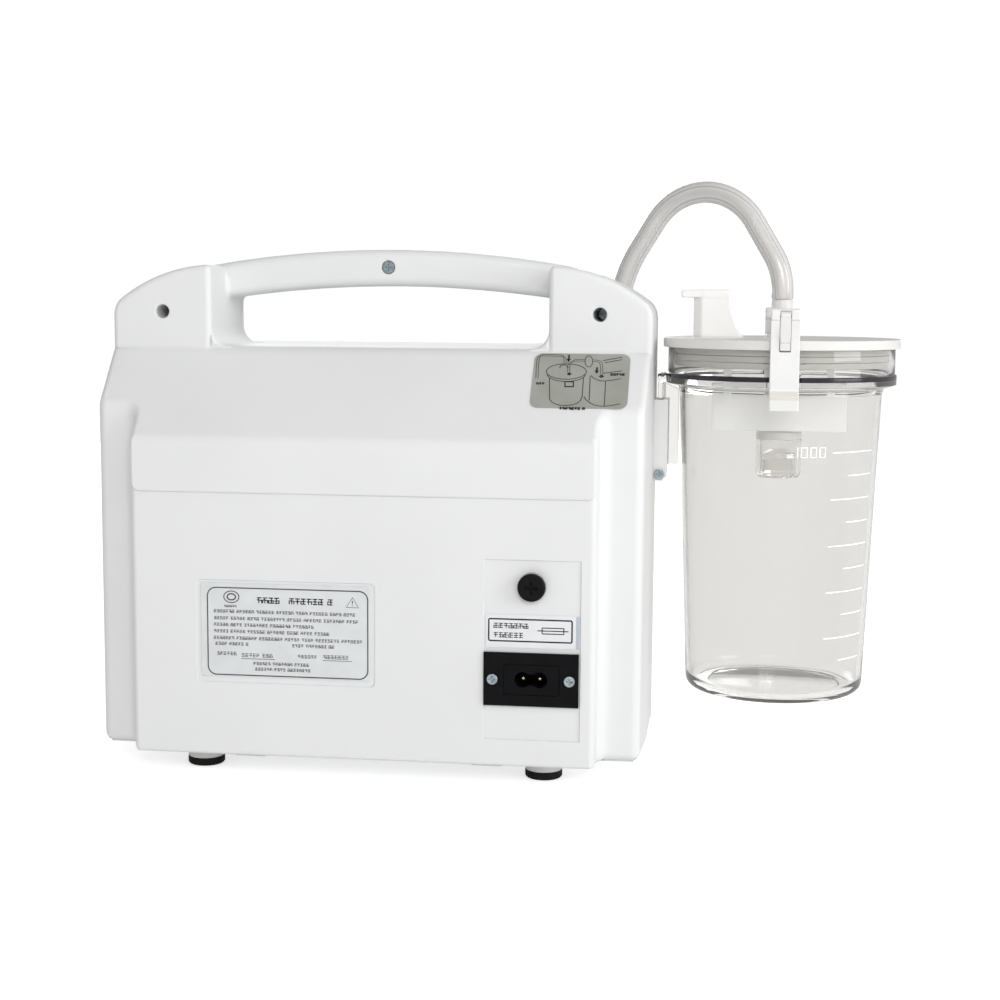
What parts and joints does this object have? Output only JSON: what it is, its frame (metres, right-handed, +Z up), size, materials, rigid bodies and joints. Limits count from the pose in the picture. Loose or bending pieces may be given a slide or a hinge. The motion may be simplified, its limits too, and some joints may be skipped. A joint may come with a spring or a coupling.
{
  "type": "suction pump",
  "caption": "Portable medical suction pump: off-white handled housing with rear mains inlet, and a clear collection jar with latched lid and hose hung on its side.",
  "frame": {"origin": "on the floor under the middle of the whole outline, jar and lid included; the middle of the housing is 64.75 mm towards +X and 10.45 mm towards +Y from it", "axes": "+Z up, -Y towards the front panel with gauge, knob and switch, +Y towards the rear panel with the mains inlet, -X towards the side that carries the jar"},
  "size_m": [0.4185, 0.195, 0.3141],
  "materials": {
    "housing": "fine-textured off-white moulded ABS",
    "base": "plain off-white moulded ABS",
    "foot_cup": "milky translucent plastic",
    "rubber": "satin black rubber",
    "screw": "bright zinc plate with a faint blue cast",
    "bracket": "satin off-white moulded ABS",
    "fascia": "screen-printed satin polycarbonate",
    "black_plastic": "satin black moulded plastic",
    "dial": "white enamelled dial with printed scale",
    "lens": "clear polished lens",
    "needle": "red painted pointer",
    "rocker": "translucent green rocker",
    "brass": "machined brass",
    "knob": "satin dark blue moulded plastic",
    "fitting": "natural white nylon",
    "tube": "milky silicone tubing",
    "inlet": "satin black mains socket moulding",
    "fuse_clear": "clear moulded holder",
    "fuse": "glass cartridge with nickel end caps",
    "label": "printed white label",
    "plate": "silver-grey printed plate",
    "sticker": "silver-grey foil sticker with line drawing",
    "steel": "zinc-plated sheet steel",
    "motor_case": "cast end bells and rolled can",
    "stator": "laminations and varnished windings",
    "bearing": "ground bearing steel",
    "rotor": "turned steel",
    "casting": "die-cast aluminium",
    "capacitor": "white capacitor can",
    "wire": "PVC insulation",
    "jar": "clear polycarbonate",
    "lid": "warm off-white moulded polypropylene",
    "seal": "translucent silicone",
    "baffle": "thin white plastic",
    "cup": "clear polystyrene",
    "float": "light foamed plastic",
    "latch": "white moulded nylon",
    "hose": "clear soft PVC hose"
  },
  "bodies": {
    "housing": {"rear_shell": "housing", "front_shell": "housing", "base_plate": "base", "foot_cups": "foot_cup", "foot_pads": "rubber", "foot_screws": "screw", "case_screws": "screw", "handle_screw": "screw", "jar_bracket": "bracket", "panel_screws": "screw", "front_panel": "fascia", "gauge_case": "black_plastic", "gauge_dial": "dial", "gauge_lens": "lens", "gauge_bezel": "black_plastic", "switch_frame": "black_plastic", "regulator_valve": "brass", "pump_port": "fitting", "tube_cross": "fitting", "inner_tubes": "tube", "power_inlet": "inlet", "inlet_pins": "brass", "fuse_holder": "fuse_clear", "fuse_label": "label", "nameplate": "plate", "tube_diagram": "sticker", "motor_bracket": "steel", "rubber_mounts": "rubber", "motor_case": "motor_case", "motor_stator": "stator", "motor_bearings": "bearing", "diaphragm": "rubber", "pump_body": "casting", "valve_plate": "casting", "flap_valves": "rubber", "pump_head": "casting", "head_screws": "screw", "run_capacitor": "capacitor", "wires": "wire"},
    "rocker": {"switch_rocker": "rocker"},
    "knob": {"regulator_knob": "knob"},
    "pointer": {"gauge_needle": "needle"},
    "fuse_carrier": {"fuse": "fuse"},
    "fuse_knob": {"fuse_cap": "black_plastic"},
    "jar": {"jar": "jar"},
    "lid": {"lid": "lid", "lid_seal": "seal", "splash_baffle": "baffle", "float_holder": "latch", "float_cup": "cup", "latch_pins": "screw", "suction_hose": "hose"},
    "rear_clip": {"latch_rear": "latch"},
    "front_clip": {"latch_front": "latch"},
    "float_valve": {"float": "float"},
    "rotor": {"motor_rotor": "rotor", "cooling_fan": "black_plastic", "eccentric": "casting"},
    "rod": {"con_rod": "casting", "clamp_plate": "casting"}
  },
  "joints": [
    {"name": "rocker_switch", "type": "hinge", "parent": "housing", "child": "rocker", "pos_m": [0.11075, -0.06905, 0.078], "axis": [-1, 0, 0], "range_deg": [0, 18]},
    {"name": "regulator_turn", "type": "hinge", "parent": "housing", "child": "knob", "pos_m": [0.11075, -0.08755, 0.15], "axis": [0, -1, 0], "range_deg": [0, 300]},
    {"name": "gauge_pointer", "type": "hinge", "parent": "housing", "child": "pointer", "pos_m": [0.03675, -0.07005, 0.15], "axis": [0, 1, 0], "range_deg": [0, 270]},
    {"name": "fuse_pull", "type": "slide", "parent": "housing", "child": "fuse_carrier", "axis": [0, 1, 0], "range_m": [0, 0.036]},
    {"name": "fuse_cap_turn", "type": "hinge", "parent": "fuse_carrier", "child": "fuse_knob", "pos_m": [-0.02345, 0.09445, 0.1064], "axis": [0, 1, 0], "range_deg": [0, 45]},
    {"name": "jar_lift", "type": "slide", "parent": "housing", "child": "jar", "axis": [0, 0, 1], "range_m": [0, 0.05]},
    {"name": "lid_lift", "type": "slide", "parent": "jar", "child": "lid", "axis": [0, 0, 1], "range_m": [0, 0.08]},
    {"name": "rear_latch_swing", "type": "hinge", "parent": "lid", "child": "rear_clip", "pos_m": [-0.14655, 0.06545, 0.2423], "axis": [1, 0, 0], "range_deg": [0, 100]},
    {"name": "front_latch_swing", "type": "hinge", "parent": "lid", "child": "front_clip", "pos_m": [-0.14655, -0.06235, 0.2423], "axis": [-1, 0, 0], "range_deg": [0, 100]},
    {"name": "float_rise", "type": "slide", "parent": "lid", "child": "float_valve", "axis": [0, 0, 1], "range_m": [0, 0.007]},
    {"name": "motor_spin", "type": "hinge", "parent": "housing", "child": "rotor", "pos_m": [0.06475, 0.01845, 0.078], "axis": [1, 0, 0], "continuous": true},
    {"name": "rod_pivot", "type": "hinge", "parent": "rotor", "child": "rod", "pos_m": [0.03075, 0.01845, 0.082], "axis": [1, 0, 0], "continuous": true, "deforming": ["diaphragm"]}
  ],
  "couplings": [
    {"joint": "rod_pivot", "follows": "motor_spin", "ratio": -1}
  ]
}
